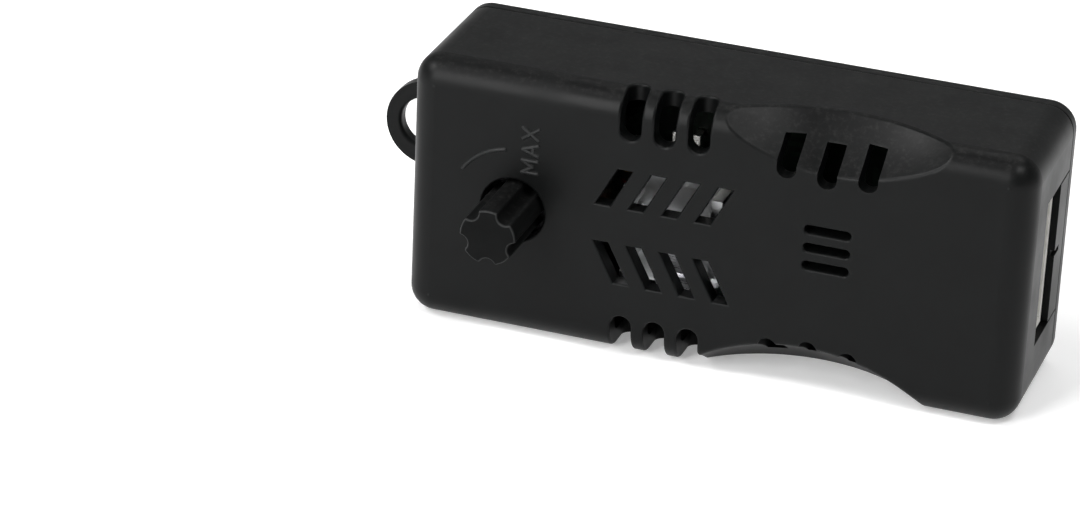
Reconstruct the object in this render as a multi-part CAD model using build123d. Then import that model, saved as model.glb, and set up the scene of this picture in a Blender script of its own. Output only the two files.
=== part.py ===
from build123d import *
import os
from math import cos, radians, sin, sqrt, tan

# A fan speed hub: a moulded box with a speed knob, vents and a socket. Millimetres.
# X runs along the box, the front face looks to -Y, Z is up, and the base face is centred on the origin.

# Case
case_length = 74.5
case_depth = 20.0
case_height = 33.0
wall = 2.0
edge_radius = 3.2
inner_radius = 1.2
rim_round = 0.25
cut_margin = 1.0

# Back cover with its lip, loop and tongue
cover_thickness = 2.0
cover_edge_round = 0.4
lip_height = 1.3
lip_width = 1.2
lip_gap = 0.15
loop_outer_radius = 5.5
loop_hole_radius = 3.2
loop_offset = 4.15
loop_hole_offset = 4.6
loop_root_height = 7.6
loop_round = 0.5
tongue_gap = 0.25
nick_height = 0.7
nick_depth = 0.5

# Speed knob and its hole
knob_inset = 13.25
knob_drop = 0.45
knob_hole_radius = 3.9
knob_radius = 3.4
knob_reach = 8.45
knob_cap = 2.4
flute_count = 5
flute_radius = 1.0
flute_depth = 0.8
flute_start_angle = 127.0
flute_edge_round = 0.25
knob_end_round = 0.3

# Raised marks on the front
mark_height = 0.2
mark_width = 0.44
letter_height = 1.85
letter_gap = 0.28
letter_m_width = 1.5
letter_a_width = 1.3
letter_x_width = 1.35
letters_offset_x = 2.85
letters_offset_z = 5.13
arc_radius = 7.6
arc_start_angle = 99.0
arc_end_angle = 146.0

# Slots that wrap over the long front edges
wrap_count = 3
wrap_inset = 27.1
wrap_pitch = 4.1
wrap_width = 2.55
wrap_top_reach = 5.6
wrap_low_reach = 5.0
wrap_back_reach = 3.9
wrap_under_reach = 6.3
wrap_lip_round = 0.3

# Slanted vents, in two mirrored rows
vent_count = 4
vent_inset = 24.2
vent_pitch = 4.05
vent_width = 1.8
vent_lean = 28.0
vent_top_rise = 4.75
vent_low_rise = 5.0
vent_row_gap = 2.35

# Straight vents
bar_count = 3
bar_inset = 20.6
bar_pitch = 2.25
bar_length = 5.5
bar_height = 1.05
bar_centre_rise = 1.8

# Finger scoops on the long front edges, each with its slots; the lower scoop reaches further back
top_scoop_inset = 23.2
top_scoop_ball_radius = 29.0
top_scoop_reach = 6.5
top_scoop_fall = 5.4
top_slot_shift = 0.7
top_slot_reach = 7.1
low_scoop_inset = 24.9
low_scoop_ball_radius = 26.5
low_scoop_reach = 8.7
low_scoop_fall = 5.57
low_slot_shift = -0.15
low_slot_reach = 6.4
scoop_lip_round = 0.6
scoop_slot_count = 3
scoop_slot_pitch = 4.8
scoop_slot_width = 2.3
scoop_slot_start = 2.85
scoop_slot_step = 0.5

# Screw bosses and board posts
boss_inset = 1.9
boss_socket_gap = 0.9
boss_base_radius = 3.0
boss_radius = 2.0
post_radius = 2.2
post_inset = 4.4
thread_gap = 0.05
bore_relief = 1.0

# Screws
screw_radius = 1.05
cover_screw_length = 8.0
cover_head_radius = 1.9
cover_head_height = 1.0
cover_head_sink = 1.1
board_screw_length = 6.0
board_head_radius = 1.8
board_head_height = 1.2
screw_hole_gap = 0.15
recess_width = 0.5
recess_length = 2.0
recess_depth = 0.5

# Circuit board
board_thickness = 1.6
board_edge_gap = 0.4
board_boss_gap = 0.3
tail_space = 2.6
tail_length = 1.1
lead_gap = 0.1

# Socket: six ways, 2.5 apart
pin_count = 6
pin_pitch = 2.5
pin_size = 0.64
pin_gap = 0.03
pin_bend = 1.4
socket_end_margin = 2.45
socket_thickness = 5.8
socket_length = 9.0
socket_wall = 0.8
socket_floor = 1.6
socket_pin_recess = 3.4
socket_mouth_recess = 0.8
socket_gap = 0.3
key_width = 2.2
key_offset = 4.6
key_length = 4.5

# Potentiometer
pot_width = 10.0
pot_height = 10.6
pot_body_depth = 6.0
pot_plate = 0.8
pot_bushing_radius = 3.0
pot_bushing_gap = 1.5
shaft_radius = 2.0
shaft_gap = 0.05
shaft_flat = 1.4
knob_bore_gap = 0.03
knob_bushing_gap = 0.5
chamber_radius = 4.4
chamber_depth = 4.0
disc_radius = 3.2
disc_thickness = 2.0
disc_play = 0.1
stop_lug_width = 1.4
stop_lug_height = 0.9
stop_peg_width = 2.0
stop_peg_height = 0.9
wafer_thickness = 0.8
wafer_gap = 0.1
wiper_radius = 2.6
wiper_thickness = 0.3
wiper_dimple_radius = 0.5
wiper_dimple_offset = 1.8
wiper_track_gap = 0.05
terminal_count = 3
terminal_pitch = 2.5
terminal_width = 0.8
terminal_thickness = 0.5
terminal_seat = 1.0
terminal_drop = 4.2

# Regulator on its heat sink
regulator_width = 10.0
regulator_body_height = 9.0
regulator_body_thickness = 3.1
regulator_board_gap = 0.2
regulator_rise = 4.2
tab_height = 6.4
tab_thickness = 1.3
tab_hole_inset = 2.8
lead_count = 3
lead_pitch = 2.54
lead_width = 0.8
lead_thickness = 0.5
lead_drop = 2.6
lead_set_back = 1.2
pad_thickness = 0.3
sink_width = 12.0
sink_height = 13.5
sink_drop = 0.6
sink_base = 1.5
sink_flange = 1.3
sink_front_gap = 1.4
fin_count = 4
fin_gap = 1.1
sink_screw_radius = 1.45
sink_screw_gap = 0.1
sink_screw_head_radius = 2.6
sink_screw_head_height = 1.8
sink_nut_flats = 5.0
sink_nut_height = 2.0
sink_screw_end = 0.4

# Small parts on the board
input_can_radius = 4.0
input_can_height = 8.5
output_can_radius = 3.15
output_can_height = 8.0
can_groove = 0.3
can_groove_rise = 1.4
can_lead_radius = 0.3
input_lead_pitch = 3.5
output_lead_pitch = 2.5
can_gap = 0.8
diode_radius = 1.35
diode_length = 5.2
resistor_radius = 1.2
resistor_length = 6.3
axial_lead_radius = 0.35
axial_pitch = 10.16
axial_board_gap = 0.25
axial_side_gap = 0.75

# Planes and centres that follow from the sizes above
x_left = -case_length / 2
x_right = case_length / 2
y_front = -case_depth / 2
y_back = case_depth / 2
y_inner = y_front + wall
y_rim = y_back - cover_thickness
z_mid = case_height / 2
y_board_back = y_rim - tail_space
y_board = y_board_back - board_thickness
y_tail = y_board_back + tail_length
x_knob = x_left + knob_inset
z_knob = z_mid - knob_drop
flute_offset = knob_radius + flute_radius - flute_depth
y_mark = y_front + mark_width / 2 - mark_height
socket_width = (pin_count - 1) * pin_pitch + 2 * socket_end_margin
x_mouth = x_right - socket_mouth_recess
x_socket_back = x_mouth - socket_length
y_socket = y_board - socket_thickness
y_notch = y_socket - socket_gap
notch_height = socket_width + 2 * socket_gap
y_tongue = y_board + socket_gap
x_vents = x_left + vent_inset + ((vent_count - 1) * vent_pitch + vent_low_rise * tan(radians(vent_lean))) / 2
y_tab = y_board - regulator_board_gap - regulator_body_thickness - tab_thickness
z_tab_low = regulator_rise + wall
z_body_low = z_tab_low + tab_height
z_body_high = z_body_low + regulator_body_height
z_tab_hole = z_tab_low + tab_hole_inset
y_sink = y_tab - pad_thickness
z_sink_low = z_tab_low + sink_drop
pot_bushing_end = y_inner + pot_bushing_gap
y_pot_front = y_board - pot_body_depth
y_chamber = y_pot_front + chamber_depth
y_disc = y_pot_front + disc_play
y_wiper = y_disc + disc_thickness
y_knob_tip = y_front - knob_reach
y_knob_back = pot_bushing_end - knob_bushing_gap
y_shaft_tip = y_knob_tip + knob_cap
x_pot_right = x_knob + pot_width / 2
x_sink_left = x_vents - sink_width / 2
x_sink_right = x_vents + sink_width / 2
x_post = (x_pot_right + x_sink_left) / 2
x_cans = x_socket_back - pin_bend - pin_size - can_gap - input_can_radius
z_can_gap = z_mid + (input_can_radius - output_can_radius) / 2


def block(x0, x1, y0, y1, z0, z1):
    """A box between two corners."""
    middle = Pos((x0 + x1) / 2, (y0 + y1) / 2, (z0 + z1) / 2)
    return middle * Box(x1 - x0, y1 - y0, z1 - z0)


def rod_y(x, z, radius, y0, y1):
    """A cylinder along Y."""
    return Pos(x, (y0 + y1) / 2, z) * Rot(X=90) * Cylinder(radius, y1 - y0)


def rod_z(x, y, radius, z0, z1):
    """A cylinder along Z."""
    return Pos(x, y, (z0 + z1) / 2) * Cylinder(radius, z1 - z0)


def front_cut(sketch, y_from, y_to):
    """A front-view sketch (X across, Z up) pushed forward from one depth to another."""
    return extrude(Plane.XZ.offset(-y_from) * sketch, amount=y_from - y_to, dir=(0, -1, 0))


def rounded_block(x0, x1, y0, y1, z0, z1, radius):
    """A box with its front and its four depth edges rounded."""
    body = block(x0, x1, y0, y1, z0, z1)
    edges = body.edges().filter_by(Axis.Y) + body.faces().sort_by(Axis.Y)[0].edges()
    return fillet(edges, radius)


def scoop(inset, ball_radius, reach, fall, z_edge, outward, extra):
    """One finger scoop on a long front edge: a ball that reaches back from the edge and along the front."""
    chord = sqrt(reach**2 + fall**2)
    stand_off = sqrt(ball_radius**2 - (chord / 2) ** 2)
    y_ball = y_front + reach / 2 - stand_off * fall / chord
    z_ball = z_edge + outward * (stand_off * reach / chord - fall / 2)
    return Pos(x_right - inset, y_ball, z_ball) * Sphere(ball_radius + extra)


def scoops(extra):
    """Both finger scoops, grown all round by extra."""
    top = (top_scoop_inset, top_scoop_ball_radius, top_scoop_reach, top_scoop_fall)
    low = (low_scoop_inset, low_scoop_ball_radius, low_scoop_reach, low_scoop_fall)
    return [scoop(*top, case_height, 1, extra), scoop(*low, 0, -1, extra)]


def boss_points():
    """The four cover bosses, as X and Z."""
    x_boss = x_right - wall - boss_inset
    rise = socket_width / 2 + boss_socket_gap + boss_base_radius
    return [(x, z) for x in (-x_boss, x_boss) for z in (z_mid - rise, z_mid + rise)]


def post_points():
    """The two board posts, as X and Z."""
    z_post = wall + post_inset
    return [(x_post, z_post), (x_post, case_height - z_post)]


def socket_pin_points():
    """Where the socket pins go through the board."""
    first = z_mid - (pin_count - 1) * pin_pitch / 2
    return [(x_socket_back - pin_bend, first + i * pin_pitch) for i in range(pin_count)]


def terminal_points():
    """Where the potentiometer terminals go through the board."""
    first = x_knob - (terminal_count - 1) * terminal_pitch / 2
    return [(first + i * terminal_pitch, z_knob - terminal_drop) for i in range(terminal_count)]


def regulator_lead_points():
    """Where the regulator leads go through the board."""
    first = x_vents - (lead_count - 1) * lead_pitch / 2
    z_lead = z_body_high + lead_drop - lead_thickness / 2
    return [(first + i * lead_pitch, z_lead) for i in range(lead_count)]


def can_centres():
    """The two capacitors as X, Z, can radius and lead pitch."""
    z_input = z_can_gap - can_gap / 2 - input_can_radius
    z_output = z_can_gap + can_gap / 2 + output_can_radius
    return {
        "input": (x_cans, z_input, input_can_radius, input_lead_pitch),
        "output": (x_cans, z_output, output_can_radius, output_lead_pitch),
    }


def can_lead_points(name):
    """Where one capacitor's leads go through the board."""
    x, z, radius, pitch = can_centres()[name]
    return [(x, z - pitch / 2), (x, z + pitch / 2)]


def axial_places():
    """The parts that lie along Z on the board: X, body radius and body length."""
    return {
        "diode": [(x_sink_right + axial_side_gap + diode_radius, diode_radius, diode_length)],
        "resistor": [
            (x_pot_right + axial_side_gap + resistor_radius, resistor_radius, resistor_length),
            (x_sink_left - axial_side_gap - resistor_radius, resistor_radius, resistor_length),
        ],
    }


def wrap_slots():
    """Slots over both long front edges, with round ends on each face."""
    cuts = []
    half = wrap_width / 2
    top = (case_height, -1, wrap_top_reach, wrap_back_reach)
    low = (0, 1, wrap_low_reach, wrap_under_reach)
    for i in range(wrap_count):
        x = x_left + wrap_inset + i * wrap_pitch
        for z_edge, way, reach, side_reach in (top, low):
            y_end = y_front + side_reach - half
            z_end = z_edge + way * (reach - half)
            z_out = z_edge - way * cut_margin
            z_wall = z_edge + way * (wall + cut_margin / 2)
            z0, z1 = sorted((z_end, z_out))
            cuts.append(block(x - half, x + half, y_front - cut_margin, y_end, z0, z1))
            cuts.append(rod_y(x, z_end, half, y_front - cut_margin, y_inner + cut_margin / 2))
            cuts.append(rod_z(x, y_end, half, min(z_out, z_wall), max(z_out, z_wall)))
    return cuts


def vent_sketch():
    """The slanted vents in front view, two rows pointing to the left."""
    sketch = Sketch()
    half = vent_width / 2
    for i in range(vent_count):
        x = x_left + vent_inset + i * vent_pitch
        for way, rise in ((1, vent_top_rise), (-1, vent_low_rise)):
            z0 = z_mid + way * vent_row_gap
            z1 = z0 + way * rise
            x_end = x + rise * tan(radians(vent_lean))
            corners = [(x - half, z0), (x + half, z0), (x_end + half, z1), (x_end - half, z1)]
            sketch += Polygon(*corners[::way], align=None)
    return sketch


def bar_sketch():
    """The straight vents in front view, with round ends."""
    sketch = Sketch()
    x = x_right - bar_inset - bar_length / 2
    for i in range(bar_count):
        z = z_mid + bar_centre_rise + (i - (bar_count - 1) / 2) * bar_pitch
        sketch += Pos(x, z) * SlotOverall(bar_length, bar_height)
    return sketch


def scoop_slot_sketch():
    """The slots through both scoops in front view, the middle one reaching furthest."""
    sketch = Sketch()
    half = scoop_slot_width / 2
    top = (top_scoop_inset + top_slot_shift, case_height, -1, top_slot_reach)
    low = (low_scoop_inset + low_slot_shift, 0, 1, low_slot_reach)
    for inset, z_edge, way, reach in (top, low):
        for i in range(scoop_slot_count):
            step = i - (scoop_slot_count - 1) / 2
            x = x_right - inset + step * scoop_slot_pitch
            side_step = abs(step) * scoop_slot_step
            start = scoop_slot_start - side_step
            end = reach - side_step - half
            z = z_edge + way * (start + end) / 2
            sketch += Pos(x, z) * Rectangle(scoop_slot_width, end - start)
            sketch += Pos(x, z_edge + way * end) * Circle(half)
    return sketch


def letter_strokes():
    """The word MAX as strokes between two ends; u runs up the face, v to the left of it."""
    top = letter_height
    m_mid = letter_m_width / 2
    a_left = letter_m_width + letter_gap + mark_width
    a_mid = a_left + letter_a_width / 2
    a_right = a_left + letter_a_width
    bar_half = letter_a_width / 3
    x_start = a_right + letter_gap + mark_width
    x_end = x_start + letter_x_width
    m_ends = [(0, 0), (0, top), (m_mid, top / 3), (letter_m_width, top), (letter_m_width, 0)]
    strokes = list(zip(m_ends, m_ends[1:]))
    strokes += [((a_left, 0), (a_mid, top)), ((a_mid, top), (a_right, 0))]
    strokes += [((a_mid - bar_half, top / 3), (a_mid + bar_half, top / 3))]
    strokes += [((x_start, 0), (x_end, top)), ((x_start, top), (x_end, 0))]
    return strokes


def letter_point(u, v):
    """A place in the word, on the middle line of its bars."""
    return Vector(x_knob + letters_offset_x - v, y_mark, z_knob + letters_offset_z + u)


def raised_word():
    """The word MAX, reading upwards beside the knob, in round bars half sunk in the face."""
    strokes = letter_strokes()
    ends = sorted({end for stroke in strokes for end in stroke})
    bars = [Pos(letter_point(*end)) * Sphere(mark_width / 2) for end in ends]
    for start, end in strokes:
        line = Line(letter_point(*start), letter_point(*end))
        bars.append(sweep(Plane(line @ 0, z_dir=line % 0) * Circle(mark_width / 2), path=line))
    return bars


def raised_arc():
    """A round bar along an arc round the knob, half sunk in the face, that ends near the word."""

    def at(angle):
        across = arc_radius * cos(radians(angle))
        return Vector(x_knob + across, y_mark, z_knob + arc_radius * sin(radians(angle)))

    middle = (arc_start_angle + arc_end_angle) / 2
    path = ThreePointArc(at(arc_start_angle), at(middle), at(arc_end_angle))
    bars = [Pos(at(angle)) * Sphere(mark_width / 2) for angle in (arc_start_angle, arc_end_angle)]
    bars.append(sweep(Plane(path @ 0, z_dir=path % 0) * Circle(mark_width / 2), path=path))
    return bars


def front_shell():
    """The deep tray: front face, four sides, bosses, posts, vents and scoops."""
    outer = rounded_block(x_left, x_right, y_front, y_rim, 0, case_height, edge_radius)
    cut_scoops = scoops(0)
    skin = outer - cut_scoops
    skin = fillet(new_edges(outer, *cut_scoops, combined=skin), scoop_lip_round)
    cavity = rounded_block(
        x_left + wall, x_right - wall, y_inner, y_rim + cut_margin, wall, case_height - wall, inner_radius
    )
    shell = skin - (cavity - scoops(wall))
    stands = [rod_y(x, z, boss_base_radius, y_front + wall / 2, y_board) for x, z in boss_points()]
    stands += [rod_y(x, z, boss_radius, y_board, y_rim) for x, z in boss_points()]
    stands += [rod_y(x, z, post_radius, y_front + wall / 2, y_board) for x, z in post_points()]
    shell += [skin & stand for stand in stands]
    pilot = screw_radius + thread_gap
    cover_bore = cover_screw_length + bore_relief
    shell -= [rod_y(x, z, pilot, y_rim - cover_bore, y_rim + cut_margin) for x, z in boss_points()]
    board_bore = board_screw_length + bore_relief
    shell -= [rod_y(x, z, pilot, y_board - board_bore, y_board + cut_margin) for x, z in post_points()]
    shell -= rod_y(x_knob, z_knob, knob_hole_radius, y_front - cut_margin, y_inner + cut_margin)
    shell -= front_cut(vent_sketch() + bar_sketch(), y_inner + cut_margin, y_front - cut_margin)
    front_holes = shell.faces().sort_by(Axis.Y)[0].inner_wires()
    shell = fillet([edge for wire in front_holes for edge in wire.edges()], rim_round)
    cut_wraps = wrap_slots()
    whole = shell
    shell = whole - cut_wraps
    lips = new_edges(whole, *cut_wraps, combined=shell).group_by(Axis.Y)[0]
    shell = fillet(lips, wrap_lip_round)
    scoop_depth = max(top_scoop_reach, low_scoop_reach) + wall
    shell -= front_cut(scoop_slot_sketch(), y_front + scoop_depth + cut_margin, y_front - cut_margin)
    half_notch = notch_height / 2
    shell -= block(
        x_right - wall - cut_margin, x_right + cut_margin,
        y_notch, y_rim + cut_margin, z_mid - half_notch, z_mid + half_notch,
    )
    return shell + raised_word() + raised_arc()


def back_cover():
    """The flat back with its locating lip, hanging loop and end tongue."""
    plate = rounded_plate(case_length, case_height, edge_radius, y_rim, y_back)
    x_loop = x_left - loop_offset
    loop = rod_y(x_loop, z_mid, loop_outer_radius, y_rim, y_back)
    half_root = loop_root_height / 2
    loop += block(x_loop, x_left + edge_radius, y_rim, y_back, z_mid - half_root, z_mid + half_root)
    plate += loop
    x_hole = x_left - loop_hole_offset
    plate -= rod_y(x_hole, z_mid, loop_hole_radius, y_rim - cut_margin, y_back + cut_margin)
    plate = fillet(plate.faces().sort_by(Axis.Y)[-1].outer_wire().edges(), cover_edge_round)
    rim_edges = plate.edges().filter_by(GeomType.CIRCLE)
    hole_edges = rim_edges.filter_by(lambda e: abs(e.radius - loop_hole_radius) < loop_round / 10)
    plate = fillet(hole_edges, loop_round)
    lip_length = case_length - 2 * (wall + lip_gap)
    lip_rise = case_height - 2 * (wall + lip_gap)
    lip = rounded_plate(lip_length, lip_rise, inner_radius, y_rim - lip_height, y_rim)
    lip -= rounded_plate(
        lip_length - 2 * lip_width, lip_rise - 2 * lip_width, inner_radius / 2,
        y_rim - lip_height - cut_margin, y_rim + cut_margin,
    )
    clear = boss_radius + board_boss_gap
    lip -= [rod_y(x, z, clear, y_rim - lip_height - cut_margin, y_rim + cut_margin) for x, z in boss_points()]
    half_tongue = notch_height / 2 - tongue_gap
    tongue = block(x_right - wall, x_right, y_tongue, y_rim, z_mid - half_tongue, z_mid + half_tongue)
    y_nick = (y_tongue + y_rim) / 2
    tongue -= block(
        x_right - nick_depth, x_right + cut_margin,
        y_tongue - cut_margin, y_nick, z_mid - nick_height / 2, z_mid + nick_height / 2,
    )
    cover = plate + lip + tongue
    hole = screw_radius + screw_hole_gap
    cover -= [rod_y(x, z, hole, y_rim - cut_margin, y_back + cut_margin) for x, z in boss_points()]
    sink = cover_head_radius + screw_hole_gap
    y_seat = y_back - cover_head_sink
    cover -= [rod_y(x, z, sink, y_seat, y_back + cut_margin) for x, z in boss_points()]
    return cover


def rounded_plate(length, height, radius, y0, y1):
    """A rectangle with round corners, centred on the case and pushed along Y."""
    return front_cut(Pos(0, z_mid) * RectangleRounded(length, height, radius), y1, y0)


def pan_screw(x, z, y_seat, head_radius, head_height, length):
    """A small screw that points to the front, its head behind the seat, with a cross recess."""
    screw = rod_y(x, z, head_radius, y_seat, y_seat + head_height)
    screw += rod_y(x, z, screw_radius, y_seat - length, y_seat)
    y_recess = y_seat + head_height - recess_depth
    y_out = y_seat + head_height + cut_margin
    across = recess_length / 2
    slim = recess_width / 2
    screw -= block(x - across, x + across, y_recess, y_out, z - slim, z + slim)
    screw -= block(x - slim, x + slim, y_recess, y_out, z - across, z + across)
    return screw


def cover_screws():
    """The four screws that hold the cover."""
    y_seat = y_back - cover_head_sink
    sizes = (cover_head_radius, cover_head_height, cover_screw_length)
    return [pan_screw(x, z, y_seat, *sizes) for x, z in boss_points()]


def board_screws():
    """The two screws that hold the board on its posts."""
    sizes = (board_head_radius, board_head_height, board_screw_length)
    return [pan_screw(x, z, y_board_back, *sizes) for x, z in post_points()]


def square_hole(x, z, width, height):
    """A hole through the board for a flat or square lead."""
    half_x = width / 2 + lead_gap
    half_z = height / 2 + lead_gap
    return block(
        x - half_x, x + half_x, y_board - cut_margin, y_board_back + cut_margin, z - half_z, z + half_z
    )


def round_hole(x, z, radius):
    """A hole through the board for a round lead or a screw."""
    return rod_y(x, z, radius + lead_gap, y_board - cut_margin, y_board_back + cut_margin)


def circuit_board():
    """The board, notched round the bosses and drilled for every lead."""
    gap = wall + board_edge_gap
    board = block(x_left + gap, x_right - gap, y_board, y_board_back, gap, case_height - gap)
    clear = boss_radius + board_boss_gap
    for x, z in boss_points():
        x_out = x_right if x > 0 else x_left
        z_out = case_height if z > z_mid else 0
        x_in = x - clear if x > 0 else x + clear
        z_in = z - clear if z > z_mid else z + clear
        x0, x1 = sorted((x_in, x_out))
        z0, z1 = sorted((z_in, z_out))
        board -= block(x0, x1, y_board - cut_margin, y_board_back + cut_margin, z0, z1)
    holes = [square_hole(x, z, pin_size, pin_size) for x, z in socket_pin_points()]
    holes += [square_hole(x, z, terminal_width, terminal_thickness) for x, z in terminal_points()]
    holes += [square_hole(x, z, lead_width, lead_thickness) for x, z in regulator_lead_points()]
    holes += [round_hole(x, z, screw_radius) for x, z in post_points()]
    for name in can_centres():
        holes += [round_hole(x, z, can_lead_radius) for x, z in can_lead_points(name)]
    for places in axial_places().values():
        for x, radius, length in places:
            ends = (z_mid - axial_pitch / 2, z_mid + axial_pitch / 2)
            holes += [round_hole(x, z, axial_lead_radius) for z in ends]
    return board - holes


def socket_housing():
    """The white shroud, open at the end of the case, with two key slots."""
    half = socket_width / 2
    body = block(x_socket_back, x_mouth, y_socket, y_board, z_mid - half, z_mid + half)
    inner = half - socket_wall
    body -= block(
        x_socket_back + socket_floor, x_mouth + cut_margin,
        y_socket + socket_wall, y_board - socket_wall, z_mid - inner, z_mid + inner,
    )
    for way in (-1, 1):
        z = z_mid + way * key_offset
        body -= block(
            x_mouth - key_length, x_mouth + cut_margin,
            y_socket - cut_margin, y_socket + socket_wall + cut_margin,
            z - key_width / 2, z + key_width / 2,
        )
    hole = pin_size / 2 + pin_gap
    y_pin = (y_socket + y_board) / 2
    for x, z in socket_pin_points():
        body -= block(
            x_socket_back - cut_margin, x_socket_back + socket_floor + cut_margin,
            y_pin - hole, y_pin + hole, z - hole, z + hole,
        )
    return body


def socket_pins():
    """Six square pins, each bent at a right angle into the board."""
    pins = []
    half = pin_size / 2
    y_pin = (y_socket + y_board) / 2
    for x, z in socket_pin_points():
        pin = block(x - half, x_mouth - socket_pin_recess, y_pin - half, y_pin + half, z - half, z + half)
        pin += block(x - half, x + half, y_pin - half, y_tail, z - half, z + half)
        pins.append(pin)
    return pins


def pot_body():
    """The potentiometer's moulded cup with its end stop."""
    half_x = pot_width / 2
    half_z = pot_height / 2
    body = block(x_knob - half_x, x_knob + half_x, y_pot_front, y_board, z_knob - half_z, z_knob + half_z)
    chamber = rod_y(x_knob, z_knob, chamber_radius, y_pot_front - cut_margin, y_chamber)
    peg_half = stop_peg_width / 2
    z_peg = z_knob - chamber_radius + stop_peg_height
    chamber -= block(
        x_knob - peg_half, x_knob + peg_half, y_pot_front,
        y_wiper, z_knob - chamber_radius - cut_margin, z_peg,
    )
    body -= chamber
    half_w = terminal_width / 2 + lead_gap / 2
    half_t = terminal_thickness / 2 + lead_gap / 2
    for x, z in terminal_points():
        body -= block(
            x - half_w, x + half_w, y_board - terminal_seat, y_board + cut_margin, z - half_t, z + half_t
        )
    return body


def pot_bushing():
    """The front plate and bushing that carry the shaft."""
    half_x = pot_width / 2
    half_z = pot_height / 2
    y_plate = y_pot_front - pot_plate
    plate = block(x_knob - half_x, x_knob + half_x, y_plate, y_pot_front, z_knob - half_z, z_knob + half_z)
    plate += rod_y(x_knob, z_knob, pot_bushing_radius, pot_bushing_end, y_plate)
    bore = shaft_radius + shaft_gap
    return plate - rod_y(x_knob, z_knob, bore, pot_bushing_end - cut_margin, y_pot_front + cut_margin)


def pot_wafer():
    """The disc that carries the resistance track, on the floor of the cup."""
    return rod_y(x_knob, z_knob, chamber_radius - wafer_gap, y_chamber - wafer_thickness, y_chamber)


def pot_terminals():
    """Three flat terminals from the cup into the board."""
    half_w = terminal_width / 2
    half_t = terminal_thickness / 2
    return [
        block(x - half_w, x + half_w, y_board - terminal_seat, y_tail, z - half_t, z + half_t)
        for x, z in terminal_points()
    ]


def pot_shaft():
    """The shaft with its rotor disc, stop lug and end flat."""
    shaft = rod_y(x_knob, z_knob, disc_radius, y_disc, y_wiper)
    lug_half = stop_lug_width / 2
    z_lug = z_knob + disc_radius + stop_lug_height
    shaft += block(x_knob - lug_half, x_knob + lug_half, y_disc, y_wiper, z_knob, z_lug)
    shaft += rod_y(x_knob, z_knob, shaft_radius, y_shaft_tip, y_disc)
    shaft -= block(
        x_knob - 2 * shaft_radius, x_knob + 2 * shaft_radius,
        y_shaft_tip - cut_margin, y_knob_back, z_knob - 2 * shaft_radius, z_knob - shaft_flat,
    )
    return shaft


def pot_wiper():
    """The sprung contact plate on the back of the rotor, with two dimples that face the track."""
    wiper = rod_y(x_knob, z_knob, wiper_radius, y_wiper, y_wiper + wiper_thickness)
    y_track = y_chamber - wafer_thickness - wiper_track_gap
    for way in (-1, 1):
        x = x_knob + way * wiper_dimple_offset
        wiper += rod_y(x, z_knob, wiper_dimple_radius, y_wiper, y_track)
    return wiper


def speed_knob():
    """The fluted knob with soft edges, bored for the flatted shaft."""
    blank = rod_y(x_knob, z_knob, knob_radius, y_knob_tip, y_knob_back)
    flutes = []
    for i in range(flute_count):
        angle = radians(flute_start_angle + i * 360 / flute_count)
        x = x_knob + flute_offset * cos(angle)
        z = z_knob + flute_offset * sin(angle)
        flutes.append(rod_y(x, z, flute_radius, y_knob_tip - cut_margin, y_knob_back + cut_margin))
    knob = blank - flutes
    knob = fillet(new_edges(blank, *flutes, combined=knob).filter_by(Axis.Y), flute_edge_round)
    knob = fillet(knob.faces().sort_by(Axis.Y)[0].outer_wire().edges(), knob_end_round)
    bore_radius = shaft_radius + knob_bore_gap
    bore = rod_y(x_knob, z_knob, bore_radius, y_shaft_tip - knob_bore_gap, y_knob_back + cut_margin)
    bore -= block(
        x_knob - 2 * shaft_radius, x_knob + 2 * shaft_radius,
        y_shaft_tip - cut_margin, y_knob_back + 2 * cut_margin,
        z_knob - 2 * shaft_radius, z_knob - shaft_flat - knob_bore_gap,
    )
    return knob - bore


def regulator_tab():
    """The metal tab, with its screw hole at the low end."""
    half = regulator_width / 2
    tab = block(x_vents - half, x_vents + half, y_tab, y_tab + tab_thickness, z_tab_low, z_body_high)
    hole = sink_screw_radius + sink_screw_gap
    return tab - rod_y(x_vents, z_tab_hole, hole, y_tab - cut_margin, y_tab + tab_thickness + cut_margin)


def regulator_body():
    """The moulded body behind the tab."""
    half = regulator_width / 2
    y0 = y_tab + tab_thickness
    return block(x_vents - half, x_vents + half, y0, y0 + regulator_body_thickness, z_body_low, z_body_high)


def regulator_leads():
    """Three leads that leave the top of the body and bend back into the board."""
    leads = []
    half = lead_width / 2
    y_lead = y_tab + tab_thickness + lead_set_back
    z_end = z_body_high + lead_drop
    for x, z in regulator_lead_points():
        lead = block(x - half, x + half, y_lead, y_lead + lead_thickness, z_body_high, z_end)
        lead += block(x - half, x + half, y_lead, y_tail, z_end - lead_thickness, z_end)
        leads.append(lead)
    return leads


def sink_hole():
    """The screw's path through the pad and the heat sink."""
    hole = sink_screw_radius + sink_screw_gap
    return rod_y(x_vents, z_tab_hole, hole, y_sink - sink_base - cut_margin, y_tab + cut_margin)


def insulating_pad():
    """The thin pad between the tab and the heat sink."""
    half = regulator_width / 2
    z_high = z_sink_low + sink_height
    return block(x_vents - half, x_vents + half, y_sink, y_tab, z_sink_low, z_high) - sink_hole()


def heat_sink():
    """A channel with slotted flanges that point to the vents."""
    z_high = z_sink_low + sink_height
    y_base = y_sink - sink_base
    y_tip = y_inner + sink_front_gap
    sink = block(x_sink_left, x_sink_right, y_base, y_sink, z_sink_low, z_high)
    sink += block(x_sink_left, x_sink_left + sink_flange, y_tip, y_base, z_sink_low, z_high)
    sink += block(x_sink_right - sink_flange, x_sink_right, y_tip, y_base, z_sink_low, z_high)
    pitch = (sink_height + fin_gap) / fin_count
    for i in range(1, fin_count):
        z = z_sink_low + i * pitch - fin_gap
        sink -= block(
            x_sink_left - cut_margin, x_sink_right + cut_margin, y_tip - cut_margin, y_base, z, z + fin_gap
        )
    return sink - sink_hole()


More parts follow.
